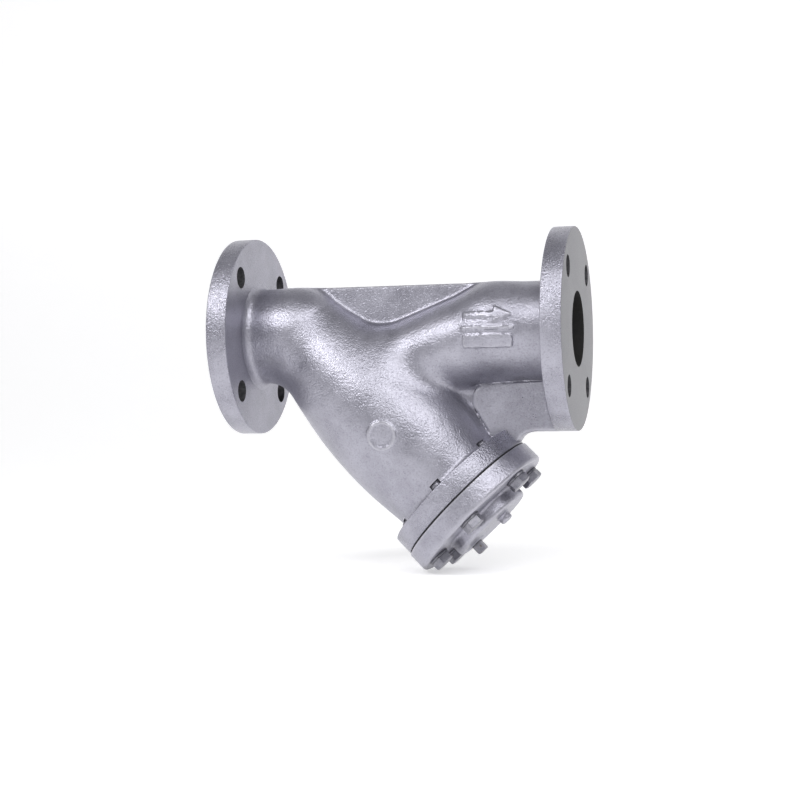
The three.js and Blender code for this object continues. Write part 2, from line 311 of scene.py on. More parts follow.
def surface_net(field, low, high, step):
    """A quad mesh on a field's zero surface: one point for each cell that it crosses."""
    axes = [np.arange(a, b + step, step) for a, b in zip(low, high)]
    grid = np.stack(np.meshgrid(*axes, indexing="ij"), axis=-1)
    values = np.concatenate([field(slab) for slab in np.array_split(grid, 16)], axis=0)
    inside = values < 0
    corners = [(i, j, k) for i in (0, 1) for j in (0, 1) for k in (0, 1)]
    size = [n - 1 for n in inside.shape]

    def shifted(array, corner):
        return array[tuple(slice(c, c + n) for c, n in zip(corner, size))]

    count = sum(shifted(inside, c).astype(np.int8) for c in corners)
    cells = np.argwhere((count > 0) & (count < 8))
    number = np.full(size, -1, np.int64)
    number[tuple(cells.T)] = np.arange(len(cells))
    total = np.zeros((len(cells), 3))
    hits = np.zeros(len(cells))
    for start in corners:
        for axis in range(3):
            if start[axis]:
                continue
            end = list(start)
            end[axis] = 1
            a = values[tuple((cells + start).T)]
            b = values[tuple((cells + end).T)]
            cut = (a < 0) != (b < 0)
            t = np.where(cut, a / np.where(cut, a - b, 1), 0)
            point = np.tile(np.array(start, float), (len(cells), 1))
            point[:, axis] = t
            total += point * cut[:, None]
            hits += cut
    points = np.array(low) + (cells + total / hits[:, None]) * step
    faces = []
    for axis in range(3):
        one, two = (axis + 1) % 3, (axis + 2) % 3
        a = inside
        b = np.roll(inside, -1, axis)
        edges = np.argwhere(a != b)
        keep = (edges[:, axis] < size[axis]) & (edges[:, one] > 0) & (edges[:, two] > 0)
        keep &= (edges[:, one] < size[one]) & (edges[:, two] < size[two])
        edges = edges[keep]
        out = a[tuple(edges.T)]
        ring = []
        for d1, d2 in ((0, 0), (1, 0), (1, 1), (0, 1)):
            cell = edges.copy()
            cell[:, one] -= d1
            cell[:, two] -= d2
            ring.append(number[tuple(cell.T)])
        quad = np.stack(ring, axis=1)
        faces.append(np.where(out[:, None], quad, quad[:, ::-1]))
    return points, np.concatenate(faces)


def settle(points, field, rounds=3, reach=0.5):
    """Moves points onto a field's zero surface."""
    for _ in range(rounds):
        value = field(points)
        slope = np.stack([field(points + np.eye(3)[i] * 0.2) - field(points - np.eye(3)[i] * 0.2)
                          for i in range(3)], axis=-1) / 0.4
        move = slope * (value / np.maximum((slope ** 2).sum(-1), 0.2))[:, None]
        points = points - np.clip(move, -reach, reach)
    return points


# ---------------------------------------------------------------- mesh building

def new_object(name, mesh):
    """An object in the scene with this mesh."""
    obj = bpy.data.objects.new(name, mesh)
    bpy.context.scene.collection.objects.link(obj)
    return obj


def mesh_from(name, points, faces):
    """A mesh in metres from points in millimetres and faces of one length."""
    mesh = bpy.data.meshes.new(name)
    faces = np.asarray(faces, np.int32)
    mesh.vertices.add(len(points))
    mesh.vertices.foreach_set("co", (np.asarray(points) * MM).ravel().astype(np.float32))
    mesh.loops.add(faces.size)
    mesh.loops.foreach_set("vertex_index", faces.ravel())
    mesh.polygons.add(len(faces))
    mesh.polygons.foreach_set("loop_start", np.arange(0, faces.size, faces.shape[1], dtype=np.int32))
    mesh.update(calc_edges=True)
    mesh.validate()
    return mesh


def arc(centre_s, centre_r, radius, start, end, steps=4):
    """Profile points on an arc, angles in degrees from the +s direction towards +r."""
    angles = np.radians(np.linspace(start, end, steps + 1))
    return [(centre_s + radius * math.cos(a), centre_r + radius * math.sin(a)) for a in angles]


def turned(name, profile, place, segments=96, closed=False):
    """An object turned about local Z from (station, radius) pairs. A closed profile is a ring."""
    bm = bmesh.new()
    loops = []
    for station, radius in profile:
        if radius < 1e-6:
            loops.append([bm.verts.new((0, 0, station * MM))])
            continue
        loops.append([bm.verts.new((radius * MM * math.cos(a), radius * MM * math.sin(a), station * MM))
                      for a in np.arange(segments) * 2 * math.pi / segments])
    pairs = list(zip(loops, loops[1:]))
    if closed:
        pairs.append((loops[-1], loops[0]))
    for first, second in pairs:
        for i in range(segments):
            j = (i + 1) % segments
            corners = [first[i % len(first)], first[j % len(first)]]
            corners += [second[j % len(second)], second[i % len(second)]]
            bm.faces.new(dict.fromkeys(corners))
    bmesh.ops.recalc_face_normals(bm, faces=bm.faces)
    bm.transform(scaled(place))
    mesh = bpy.data.meshes.new(name)
    bm.to_mesh(mesh)
    bm.free()
    return new_object(name, mesh)


def scaled(place):
    """A placement in millimetres as one in metres."""
    result = place.copy()
    result.translation = place.translation * MM
    return result


def at(place, x=0.0, y=0.0, z=0.0, turn=0.0):
    """A placement moved in its own frame, in millimetres, and turned about its own Z."""
    return place @ Matrix.Translation((x, y, z)) @ Matrix.Rotation(turn, 4, "Z")


def rod(name, start, end, radius, place, segments=48):
    """A plain round bar about local Z."""
    return turned(name, [(start, 0), (start, radius), (end, radius), (end, 0)], place, segments)


def combine(obj, others, operation):
    """Joins or cuts obj with other closed objects, which are used up."""
    for other in others:
        modifier = obj.modifiers.new("cut", "BOOLEAN")
        modifier.operation = operation
        modifier.solver = "MANIFOLD"
        modifier.object = other
    apply_modifiers(obj)
    for other in others:
        mesh = other.data
        bpy.data.objects.remove(other)
        bpy.data.meshes.remove(mesh)
    return obj


def apply_modifiers(obj):
    """Replaces obj's mesh with the result of its modifiers."""
    depsgraph = bpy.context.evaluated_depsgraph_get()
    mesh = bpy.data.meshes.new_from_object(obj.evaluated_get(depsgraph))
    old = obj.data
    obj.modifiers.clear()
    obj.data = mesh
    bpy.data.meshes.remove(old)


def shade(obj, angle=38.0):
    """Smooth shading with creases where faces meet at more than the angle, in degrees."""
    obj.data.shade_smooth()
    obj.data.set_sharp_from_angle(angle=math.radians(angle))


def around(count, radius, phase=0.0):
    """Points spaced evenly round a circle, with their angles."""
    angles = [phase + 2 * math.pi * i / count for i in range(count)]
    return [(radius * math.cos(a), radius * math.sin(a), a) for a in angles]


FLANGE_HOLES = around(4, BOLT_CIRCLE_R, math.pi / 4)
COVER_BOLT_SPOTS = around(COVER_BOLTS, COVER_BOLT_CIRCLE_R, math.pi / 6)
HEAD_TURNS = (0.12, 0.61, 0.37, 0.9, 0.2, 0.74)


def rough_cast(obj, height, grain, seed):
    """Moves every point along its normal by sand-cast unevenness. Height in mm, grain in mm."""
    mesh = obj.data
    offset = Vector((seed * 7.1, seed * 3.3, seed * 5.7))
    normals = [v.normal.copy() for v in mesh.vertices]
    for vertex, normal in zip(mesh.vertices, normals):
        place = vertex.co / (grain * MM) + offset
        swell = noise.fractal(place, 1.0, 2.1, 3) + 0.8 * noise.noise(vertex.co / (14 * MM) + offset)
        vertex.co += normal * swell * height * MM


# ---------------------------------------------------------------- pieces

def flange_profile(back, face, radius, edge):
    """A flange disc with rounded rim edges, from its back face to its sealing face."""
    return ([(back, 0)] + arc(back + edge, radius - edge, edge, 180, 90) +
            arc(face - edge, radius - edge, edge, 90, 0) + [(face, 0)])


def holes(spots, start, end, radius, place, segments=40):
    """Round cutters at each spot."""
    return [rod("cutter", start, end, radius, at(place, x, y), segments) for x, y, _ in spots]


def make_body():
    """The casting: a blended shell, three turned flanges, then everything that is drilled or bored."""
    low = np.array([-BACK_X - 8, -66.0, -188.0])
    high = np.array([BACK_X + 8, 66.0, 52.0])
    points, faces = surface_net(body_field, low, high, VOXEL)
    points = settle(points, body_field)
    body = new_object("body_casting", mesh_from("body_casting", points, faces))
    rough_cast(body, 0.10, 3.2, 1)
    flange = flange_profile(BACK_X, FACE_X, FLANGE_R, 1.0)
    discs = [turned("disc", flange, place, 160) for place in (PIPE_OUT, PIPE_IN)]
    branch_flange = flange_profile(FLANGE_BACK_S, BODY_FACE_S, BRANCH_FLANGE_R, 1.0)
    discs.append(turned("disc", branch_flange, BRANCH, 144))
    combine(body, discs, "UNION")
    cutters = []
    for place in (PIPE_OUT, PIPE_IN):
        cutters.append(rod("cutter", BACK_X - 3, FACE_X + 2, BORE_R, place, 96))
        cutters += holes(FLANGE_HOLES, BACK_X - 4, FACE_X + 2, BOLT_HOLE_R, place)
    cutters.append(rod("cutter", FLANGE_BACK_S - 2, BODY_FACE_S + 2, CHAMBER_R, BRANCH, 96))
    cutters += holes(COVER_BOLT_SPOTS, SHANK_END_S - 2, BODY_FACE_S + 2, SHANK_R + 0.3, BRANCH, 24)
    combine(body, cutters, "DIFFERENCE")
    shade(body)
    finish(body, paint("casting_paint"), painted_face("flange_face_paint"),
           paint("rim_paint", rim=True, edges=False), iron("bore_iron"), drilled("drilled_iron"),
           paint("back_paint", edges=False))
    zone_body(body)
    return body


SKIN, SEALING, RIM, HOLLOW, DRILLED, BACK = range(6)


def zone_body(body):
    """Gives the sealing faces, the flange rims and the hollow inside their own finishes."""
    count = len(body.data.polygons)
    centres = np.empty(count * 3, np.float32)
    body.data.polygons.foreach_get("center", centres)
    centres = centres.reshape(-1, 3).astype(float) / MM
    normals = np.empty(count * 3, np.float32)
    body.data.polygons.foreach_get("normal", normals)
    along_pipe = np.abs(normals[::3])
    x, y, z, s, v, across = branch_place(centres)
    zone = np.full(count, SKIN, np.int32)
    branch_flange = (s > FLANGE_BACK_S) & (across < BRANCH_FLANGE_R + 0.5)
    sealing = (np.abs(x) > FACE_X - 0.2) | (branch_flange & (s > BODY_FACE_S - 0.2))
    rim = (np.abs(x) > BACK_X) & (np.hypot(y, z) > FLANGE_R - 1.2)
    rim |= branch_flange & (across > BRANCH_FLANGE_R - 1.2)
    inside = (hollow_field(centres) < 0.6) | ((np.abs(x) > BACK_X - 6) & (np.hypot(y, z) < BORE_R + 0.3))
    inside |= (s > FLANGE_BACK_S - 4) & (across < CHAMBER_R + 0.3)
    zone[(np.abs(np.abs(x) - BACK_X) < 0.1) & (np.hypot(y, z) > NECK_R + 6)] = BACK
    zone[branch_flange & (s < FLANGE_BACK_S + 0.1) & (across > BRANCH_FLANGE_R - 6)] = BACK
    zone[sealing] = SEALING
    zone[rim & ~sealing] = RIM
    # The hollow and the drilled holes take dark finishes that paint in their shade.
    zone[inside & ~sealing] = HOLLOW
    drilled_out = np.zeros(count, bool)
    for a, b, _ in FLANGE_HOLES:
        drilled_out |= (np.abs(x) > BACK_X - 1) & (np.hypot(y - a, z - b) < BOLT_HOLE_R + 0.1)
    zone[drilled_out & (along_pipe < 0.5)] = DRILLED
    body.data.polygons.foreach_set("material_index", zone)
    crease_round(body, BACK)


def crease_round(obj, index):
    """Creases the border of one material, so that a flat face doesn't take on a fillet's shading."""
    bm = bmesh.new()
    bm.from_mesh(obj.data)
    for edge in bm.edges:
        if len({face.material_index == index for face in edge.link_faces}) == 2:
            edge.smooth = False
    bm.to_mesh(obj.data)
    bm.free()


def make_cover():
    """The cover casting: cast outside, machined back, drilled for the bolts and the plug."""
    low = np.array([-72.0, -72.0, COVER_BACK_S - 4])
    high = np.array([72.0, 72.0, HUB_TOP_S + 9])
    points, faces = surface_net(cover_field, low, high, VOXEL * 0.8)
    points = settle(points, cover_field)
    cover = new_object("cover", mesh_from("cover", points, faces))
    rough_cast(cover, 0.12, 4.0, 2)
    cover.data.transform(scaled(BRANCH))
    pocket = [(COVER_BACK_S - 3, 0), (COVER_BACK_S - 3, SCREEN_R + 1.3), (222, SCREEN_R + 1.3), (222, 31),
              (228, 30), (231, 27), (231, 0)]
    cutters = [rod("cutter", COVER_BACK_S - 6, COVER_BACK_S, COVER_R + 3, BRANCH, 64),
               turned("cutter", pocket, BRANCH, 96),
               rod("cutter", 230, HUB_TOP_S + 3, 5.9, at(BRANCH, DRAIN_V), 32)]
    cutters += holes(COVER_BOLT_SPOTS, COVER_BACK_S - 8, COVER_FACE_S + 4, SHANK_R + 0.7, BRANCH, 32)
    cutters += holes(COVER_BOLT_SPOTS, COVER_FACE_S, COVER_FACE_S + 3, 10.4, BRANCH, 48)
    combine(cover, cutters, "DIFFERENCE")
    shade(cover)
    finish(cover, paint("cover_paint", tint=1.03))
    return cover


def make_gasket():
    """A flat ring punched for the bolts."""
    edge = 0.15
    profile = ring_profile(BODY_FACE_S, COVER_BACK_S, CHAMBER_R, 67.3, edge)
    gasket = turned("cover_gasket", profile, BRANCH, 144, closed=True)
    cutters = holes(COVER_BOLT_SPOTS, BODY_FACE_S - 1, COVER_BACK_S + 1, SHANK_R + 0.8, BRANCH, 32)
    combine(gasket, cutters, "DIFFERENCE")
    shade(gasket)
    finish(gasket, gasket_sheet())
    return gasket


def ring_profile(back, face, inner, outer, edge):
    """A closed ring section with small chamfers."""
    return [(back, inner + edge), (back, outer - edge), (back + edge, outer), (face - edge, outer),
            (face, outer - edge), (face, inner + edge), (face - edge, inner), (back + edge, inner)]


def wrap(points, radius):
    """Points given as (arc length, station, height over the radius), rolled round the branch's axis."""
    points = np.asarray(points, float)
    angle = points[:, 0] / radius
    reach = radius + points[:, 2]
    local = np.stack([reach * np.cos(angle), reach * np.sin(angle), points[:, 1]], axis=1)
    return local @ np.array(BRANCH.to_3x3()).T + np.array(BRANCH.translation)


def perforated_cell(width, height, hole):
    """One cell of the sheet: the points of its edge, and the hole's points that face them."""
    w, h = width / 2, height / 2
    edge = [(-w, -h), (-w / 2, -h), (0, -h), (w / 2, -h), (w, -h), (w, 0), (w, h), (w / 2, h), (0, h),
            (-w / 2, h), (-w, h), (-w, 0)]
    angles = [math.atan2(y / h, x / w) for x, y in edge]
    return edge, [(hole * math.cos(a), hole * math.sin(a)) for a in angles]


def make_screen_sheet():
    """The basket: a perforated sheet rolled into a tube, with a lapped and spot-welded seam."""
    columns, hole = 40, 2.0
    width = 2 * math.pi * SCREEN_R / columns
    margin = 8.5
    start, end = SCREEN_TOP_S + margin, SCREEN_END_S - margin
    rows = round((end - start) / (width * 0.87))
    height = (end - start) / rows
    edge, rim = perforated_cell(width, height, hole)
    skins = (0.0, -SHEET_T)
    points, faces = [], []
    for row in range(rows):
        for column in range(columns):
            u = (column + 0.5 * (row % 2)) * width
            s = start + (row + 0.5) * height
            base = len(points)
            for skin in skins:
                points += [(u + x, s + y, skin) for x, y in edge + rim]
            for i in range(12):
                j = (i + 1) % 12
                faces.append([base + k for k in (i, j, 12 + j, 12 + i)])
                faces.append([base + 24 + k for k in (j, i, 12 + i, 12 + j)])
                faces.append([base + k for k in (12 + i, 12 + j, 36 + j, 36 + i)])
    for low, high in ((SCREEN_TOP_S, start), (end, SCREEN_END_S)):
        for step in range(columns * 4):
            u = step * width / 4
            base = len(points)
            points += [(u, low, 0), (u + width / 4, low, 0), (u + width / 4, high, 0), (u, high, 0)]
            points += [(u, low, -SHEET_T), (u + width / 4, low, -SHEET_T), (u + width / 4, high, -SHEET_T),
                       (u, high, -SHEET_T)]
            faces.append([base, base + 1, base + 2, base + 3])
            faces.append([base + 7, base + 6, base + 5, base + 4])
            outer = (0, 1) if low == SCREEN_TOP_S else (2, 3)
            a, b = outer
            faces.append([base + b, base + a, base + 4 + a, base + 4 + b])
    sheet = new_object("screen_sheet", mesh_from("screen_sheet", wrap(points, SCREEN_R), faces))
    weld(sheet)
    combine_loose(sheet, make_seam())
    shade(sheet, 30)
    finish(sheet, stainless("perforated_steel"))
    return sheet


def make_seam():
    """The lap over the sheet's joint, with its row of spot welds."""
    half, low, high = 4.2, 52.5, 211.0
    across = [-half, -half + 0.25, -2, 0, 2, half - 0.25, half]
    lift = [-0.02, 0.18, 0.18, 0.18, 0.18, 0.18, -0.02]
    stations = np.linspace(low, high, 100)
    points, faces = [], []
    for s in stations:
        dimple = 0.12 * max(0.0, math.cos((s - low) * 2 * math.pi / 11.3)) ** 6
        for i, (u, rise) in enumerate(zip(across, lift)):
            points.append((u, s, rise - (dimple if i == 3 else 0)))
        points.append((0, s, -0.05))
    wide = len(across) + 1
    for row in range(len(stations) - 1):
        for i in range(wide):
            j = (i + 1) % wide
            faces.append([row * wide + i, row * wide + j, (row + 1) * wide + j, (row + 1) * wide + i])
    return new_object("seam", mesh_from("seam", wrap(points, SCREEN_R), faces))


def weld(obj):
    """Joins points that lie together and turns the faces outwards."""
    bm = bmesh.new()
    bm.from_mesh(obj.data)
    bmesh.ops.remove_doubles(bm, verts=bm.verts, dist=0.00002)
    bmesh.ops.recalc_face_normals(bm, faces=bm.faces)
    bm.to_mesh(obj.data)
    bm.free()


def combine_loose(obj, *others):
    """Adds other meshes to obj's mesh as separate shells; the others are used up."""
    bm = bmesh.new()
    for part in (obj, *others):
        bm.from_mesh(part.data)
    ends = [e for e in bm.edges if e.is_boundary]
    if ends:
        bmesh.ops.holes_fill(bm, edges=ends, sides=0)
    bmesh.ops.recalc_face_normals(bm, faces=bm.faces)
    bm.to_mesh(obj.data)
    bm.free()
    for part in others:
        bpy.data.objects.remove(part)


def make_liner():
    """The fine mesh behind the perforated sheet, as a thin tube."""
    profile = ring_profile(44.5, 219.0, 35.2, 35.65, 0.1)
    long = [(s, 35.65) for s in np.linspace(50, 214, 12)]
    liner = turned("mesh_liner", profile[:3] + long + profile[3:], BRANCH, 128, closed=True)
    shade(liner)
    finish(liner, woven_wire())
    return liner


def make_screen_ring(name, face, inward):
    """An end ring: a flat washer with a skirt that grips the sheet."""
    profile = [(0, 34.3), (0, 37.9), (0.2, 38.3), (0.6, 38.5), (7.7, 38.5), (8, 38.3), (8, 37.75),
               (1.5, 37.72), (1.5, 34), (0.3, 34)]
    profile = [(face + inward * depth, radius) for depth, radius in profile]
    ring = turned(name, profile, BRANCH, 128, closed=True)
    shade(ring, 30)
    finish(ring, stainless("ring_steel", brushed=True))
    return ring


def thread_ridge(start, end, root, crest, place, taper=0.0, per_turn=28):
    """A helical ridge that fades out at both ends, as a closed strip."""
    turns = (end - start) / THREAD_PITCH - 1
    steps = int(turns * per_turn)
    section = ((-0.44, 0.0), (-0.09, 1.0), (0.09, 1.0), (0.44, 0.0))
    points = []
    low = root - 0.12
    for step in range(steps + 1):
        angle = 2 * math.pi * step / per_turn
        along = step / steps
        fade = min(1.0, along * turns * 1.5, (1 - along) * turns * 1.5)
        centre = start + THREAD_PITCH * (0.5 + step / per_turn)
        for offset, up in section:
            radius = low + (crest - low) * up * fade + taper * along
            station = centre + offset * THREAD_PITCH
            points.append((radius * math.cos(angle), radius * math.sin(angle), station))
    faces = []
    for step in range(steps):
        for i in range(4):
            j = (i + 1) % 4
            faces.append([step * 4 + j, step * 4 + i, step * 4 + 4 + i, step * 4 + 4 + j])
    faces += [[0, 1, 2, 3], [steps * 4 + i for i in (3, 2, 1, 0)]]
    ridge = new_object("ridge", mesh_from("ridge", points, faces))
    ridge.data.transform(scaled(place))
    weld(ridge)
    return ridge


def make_bolt(index, spot, turn):
    """A hexagon-head bolt with a cut thread; each head stands at its own angle."""
    x, y, _ = spot
    place = at(BRANCH, x, y, 0, turn)
    under = COVER_FACE_S + WASHER_T
    top = under + HEAD_H
    corner = HEAD_ACROSS_FLATS / math.sqrt(3)
    root = SHANK_R - 0.85
    shank = [(SHANK_END_S, 0), (SHANK_END_S, root - 0.9), (SHANK_END_S + 0.9, root),
             (under + 1, root), (under + 1, 0)]
    bolt = turned(f"cover_bolt_{index}", shank, place, 48)
    head = turned("head", [(under, 0), (under, corner), (top, corner), (top, 0)], place, 6)
    dome = [(under - 1, 0), (under - 1, 8.0), (under + 0.4, 8.0), (under + 0.45, 9.5), (under + 1.1, 11),
            (top - 1.7, 11), (top - 0.15, 8.35), (top, 8.0), (top, 0)]
    combine(head, [turned("dome", dome, place, 64)], "INTERSECT")
    ridge = thread_ridge(SHANK_END_S + 0.4, under, root, SHANK_R - 0.05, place)
    combine(bolt, [head, ridge], "UNION")
    shade(bolt, 30)
    finish(bolt, steel("bolt_steel"))
    return bolt


def make_washer(index, spot):
    """A plain round washer."""
    x, y, _ = spot
    profile = ring_profile(COVER_FACE_S, COVER_FACE_S + WASHER_T, SHANK_R + 0.4, 9.6, 0.3)
    washer = turned(f"bolt_washer_{index}", profile, at(BRANCH, x, y), 64, closed=True)
    shade(washer, 30)
    finish(washer, steel("bolt_steel"))
    return washer


def make_plug():
    """The square-headed drain plug with a tapered thread."""
    place = at(BRANCH, DRAIN_V)
    seat = HUB_TOP_S + 1
    top = seat + 8.8
    corner = 9 / math.sqrt(2)
    root = 4.9
    shank = [(231.6, 0), (231.6, root - 0.8), (232.4, root), (seat + 0.6, root + 0.4), (seat + 0.6, 0)]
    plug = turned("drain_plug", shank, place, 48)
    head = [(seat + 0.15, 0), (seat + 0.15, corner - 0.5), (seat + 0.6, corner), (top - 1.0, corner),
            (top, corner - 1.1), (top, 0)]
    square = turned("square", head, at(place, turn=math.pi / 4), 4)
    rounded = turned("rounded", [(seat, 0), (seat, 5.95), (top, 5.95), (top, 0)], place, 64)
    combine(square, [rounded], "INTERSECT")
    ridge = thread_ridge(231.8, seat + 0.2, root, 5.55, place, taper=0.3)
    combine(plug, [square, ridge], "UNION")
    shade(plug, 30)
    finish(plug, steel("plug_steel", worn=True))
    return plug


# ---------------------------------------------------------------- materials

MADE = {}


class Finish:
    """A node material under construction. Sizes are in millimetres, in the piece's own space."""

    def __init__(self, name, **shader):
        self.material = bpy.data.materials.new("finish_" + name)
        MADE[name] = self.material
        self.material.use_nodes = True
        self.tree = self.material.node_tree
        self.shader = self.tree.nodes["Principled BSDF"]
        self.coords = self.add("ShaderNodeTexCoord").outputs["Object"]
        for key, value in shader.items():
            self.shader.inputs[key.replace("_", " ").title()].default_value = value

    def add(self, kind, links=None, **settings):
        """A node with settings; links maps an input to a socket or a value."""
        node = self.tree.nodes.new(kind)
        for key, value in settings.items():
            setattr(node, key, value)
        for key, value in (links or {}).items():
            if isinstance(value, bpy.types.NodeSocket):
                self.tree.links.new(value, node.inputs[key])
            else:
                node.inputs[key].default_value = value
        return node

    def noise(self, size, detail=3.0, roughness=0.55, coords=None):
        """Noise whose features are about this size."""
        links = {"Vector": coords or self.coords, "Scale": 1000 / size, "Detail": detail,
                 "Roughness": roughness}
        return self.add("ShaderNodeTexNoise", links).outputs["Fac"]

    def cells(self, size, feature="F1"):
        """Distance inside rounded cells of about this size."""
        links = {"Vector": self.coords, "Scale": 1000 / size}
        return self.add("ShaderNodeTexVoronoi", links, feature=feature).outputs["Distance"]

    def spread(self, value, low, high, to_low=0.0, to_high=1.0):
        """A value moved from one range to another, held at the ends."""
        links = {"Value": value, "From Min": low, "From Max": high, "To Min": to_low, "To Max": to_high}
        return self.add("ShaderNodeMapRange", links).outputs["Result"]

    def math(self, operation, a, b=0.0):
        """One sum on two values."""
        return self.add("ShaderNodeMath", {0: a, 1: b}, operation=operation).outputs[0]

    def mix(self, fac, a, b, blend="MIX"):
        """Two colours mixed by a value."""
        links = {0: fac, 6: a, 7: b}
        return self.add("ShaderNodeMix", links, data_type="RGBA", blend_type=blend).outputs[2]

    def bump(self, height, depth, strength=1.0, normal=None):
        """Small relief: height 0 to 1 stands for depth in millimetres."""
        links = {"Height": height, "Distance": depth * MM, "Strength": strength}
        if normal:
            links["Normal"] = normal
        return self.add("ShaderNodeBump", links).outputs["Normal"]

    def corner_shade(self, reach):
        """Ambient occlusion for painted shade: 1 on open surfaces, falling to 0 deep in corners."""
        return self.add("ShaderNodeAmbientOcclusion", {"Distance": reach * MM}, samples=6).outputs["AO"]

    def edges(self, low=0.5, high=0.56):
        """1 along outward edges."""
        point = self.add("ShaderNodeNewGeometry").outputs["Pointiness"]
        return self.spread(point, low, high)

    def done(self, colour, roughness, normal):
        """Joins the three to the shader."""
        for key, socket in (("Base Color", colour), ("Roughness", roughness), ("Normal", normal)):
            self.tree.links.new(socket, self.shader.inputs[key])
        return self.material


def grey(level, tint=0.0):
    """A grey with a slight lavender cast."""
    return (level, level * (1 - 0.015 * tint), level * (1 + 0.15 * tint), 1)


def paint(name, rim=False, tint=1.0, edges=True):
    """Aluminium paint over sand-cast iron: grain, pits, uneven flake, and painted shade darkening the
    corners.
    """
    if name in MADE:
        return MADE[name]
    f = Finish(name, metallic=0.82)
    cloud = f.noise(24, 4)
    grain = f.noise(1.5, 4, 0.6)
    flake = f.noise(0.35, 2)
    pits = f.spread(f.cells(2.3), 0.0, 0.5)
    colour = f.mix(f.spread(cloud, 0.35, 0.65), grey(0.30 * tint, 1.0), grey(0.40 * tint, 0.9))
    colour = f.mix(f.spread(flake, 0.45, 0.7, 0, 0.5), colour, grey(0.52 * tint, 0.8))
    colour = f.mix(f.spread(grain, 0.3, 0.48, 0.45, 0.0), colour, grey(0.17, 1.2))
    # Lighter along outward edges: partly edge wear, partly a painted highlight.
    if edges:
        colour = f.mix(f.edges(), colour, grey(0.5, 0.6))
    # Painted shade: darker towards corners and creases, where shade falls.
    colour = f.mix(f.spread(f.corner_shade(11), 0.2, 0.75, 0.5, 0.0), colour, grey(0.10, 0.8))
    dull = 0.0 if rim else 0.04
    rough = f.math("ADD", f.spread(cloud, 0.3, 0.7, 0.22 + dull, 0.31 + dull),
                   f.spread(grain, 0.3, 0.7, 0.10, -0.02))
    relief = f.math("ADD", grain, f.math("MULTIPLY", pits, 0.35))
    normal = f.bump(relief, 0.50 if rim else 0.34, 1.0, f.bump(cloud, 0.8, 0.5))
    return f.done(colour, rough, normal)


def painted_face(name):
    """Sealing faces: the same paint over fine turned grooves."""
    f = Finish(name, metallic=0.75)
    parts = f.add("ShaderNodeSeparateXYZ", {"Vector": f.coords}).outputs
    radius = f.math("SQRT", f.math("ADD", f.math("MULTIPLY", parts["Y"], parts["Y"]),
                                   f.math("MULTIPLY", parts["Z"], parts["Z"])))
    groove = f.math("SINE", f.math("MULTIPLY", radius, 2 * math.pi / (0.8 * MM)))
    cloud = f.noise(30, 3)
    grain = f.noise(0.8, 3)
    colour = f.mix(f.spread(cloud, 0.35, 0.65), grey(0.235, 0.4), grey(0.285, 0.3))
    colour = f.mix(f.spread(grain, 0.35, 0.5, 0.3, 0.0), colour, grey(0.2, 0.6))
    rough = f.math("ADD", f.spread(cloud, 0.3, 0.7, 0.42, 0.5), f.spread(grain, 0.3, 0.7, 0.05, -0.05))
    normal = f.bump(groove, 0.02, 0.5, f.bump(grain, 0.10, 0.6))
    return f.done(colour, rough, normal)


def iron(name):
    """Bare iron inside: dull and oxidised, its near-black tone partly painted shade of the hollow."""
    f = Finish(name, metallic=0.1)
    cloud = f.noise(12, 5)
    grain = f.noise(1.3, 4)
    # Partly painted shade: oxidised iron kept near-black, as shade falls in the hollow.
    colour = f.mix(f.spread(cloud, 0.35, 0.65), (0.006, 0.006, 0.006, 1), (0.014, 0.013, 0.012, 1))
    colour = f.mix(f.spread(grain, 0.5, 0.7, 0, 0.35), colour, (0.022, 0.019, 0.017, 1))
    rough = f.spread(cloud, 0.3, 0.7, 0.62, 0.85)
    return f.done(colour, rough, f.bump(grain, 0.3, 1.0))


def drilled(name):
    """The wall of a drilled hole: iron with a thin film of paint and fine grain, its dark tone painted
    shade inside the hole.
    """
    f = Finish(name, metallic=0.5)
    cloud = f.noise(4, 4)
    grain = f.noise(0.6, 3)
    # Painted shade: the hole's wall coloured dark, as shade falls inside it.
    colour = f.mix(f.spread(cloud, 0.35, 0.65), grey(0.045, 0.5), grey(0.11, 0.5))
    return f.done(colour, f.spread(cloud, 0.3, 0.7, 0.6, 0.45), f.bump(grain, 0.08, 0.8))


def gasket_sheet():
    """Pressed fibre sheet, nearly black."""
    f = Finish("gasket_fibre", metallic=0.0)
    fibres = f.noise(0.9, 5, 0.7)
    cloud = f.noise(9, 3)
    colour = f.mix(f.spread(cloud, 0.3, 0.7), (0.014, 0.014, 0.016, 1), (0.028, 0.028, 0.031, 1))
    colour = f.mix(f.spread(fibres, 0.55, 0.75, 0, 0.6), colour, (0.07, 0.07, 0.075, 1))
    return f.done(colour, f.spread(fibres, 0.3, 0.7, 0.85, 0.65), f.bump(fibres, 0.08, 0.8))


def steel(name, worn=False):
    """Fasteners brushed over with the body's paint, with painted shade darkening the corners."""
    if name in MADE:
        return MADE[name]
    f = Finish(name, metallic=0.8)
    cloud = f.noise(5, 4)
    grain = f.noise(0.8, 4)
    colour = f.mix(f.spread(cloud, 0.35, 0.65), grey(0.21, 0.9), grey(0.33, 0.7))
    colour = f.mix(f.spread(grain, 0.3, 0.48, 0.45, 0.0), colour, grey(0.09, 0.6))
    if worn:
        colour = f.mix(f.spread(f.noise(2.5, 4), 0.55, 0.65), colour, (0.16, 0.14, 0.125, 1))
    # Painted shade: near-black towards corners, where shade falls.
    colour = f.mix(f.spread(f.corner_shade(4), 0.3, 0.85, 0.8, 0.0), colour, grey(0.035, 0.6))
    rough = f.math("ADD", f.spread(cloud, 0.3, 0.7, 0.26, 0.42), f.spread(grain, 0.3, 0.7, 0.08, -0.04))
    return f.done(colour, rough, f.bump(grain, 0.14, 0.9, f.bump(cloud, 0.3, 0.4)))


def branch_coords(f, squeeze):
    """The piece's coordinates turned so that Z runs down the branch, then squeezed."""
    links = {"Vector": f.coords, "Rotation": (0, -math.pi * 0.75, 0), "Scale": squeeze}
    return f.add("ShaderNodeMapping", links).outputs["Vector"]


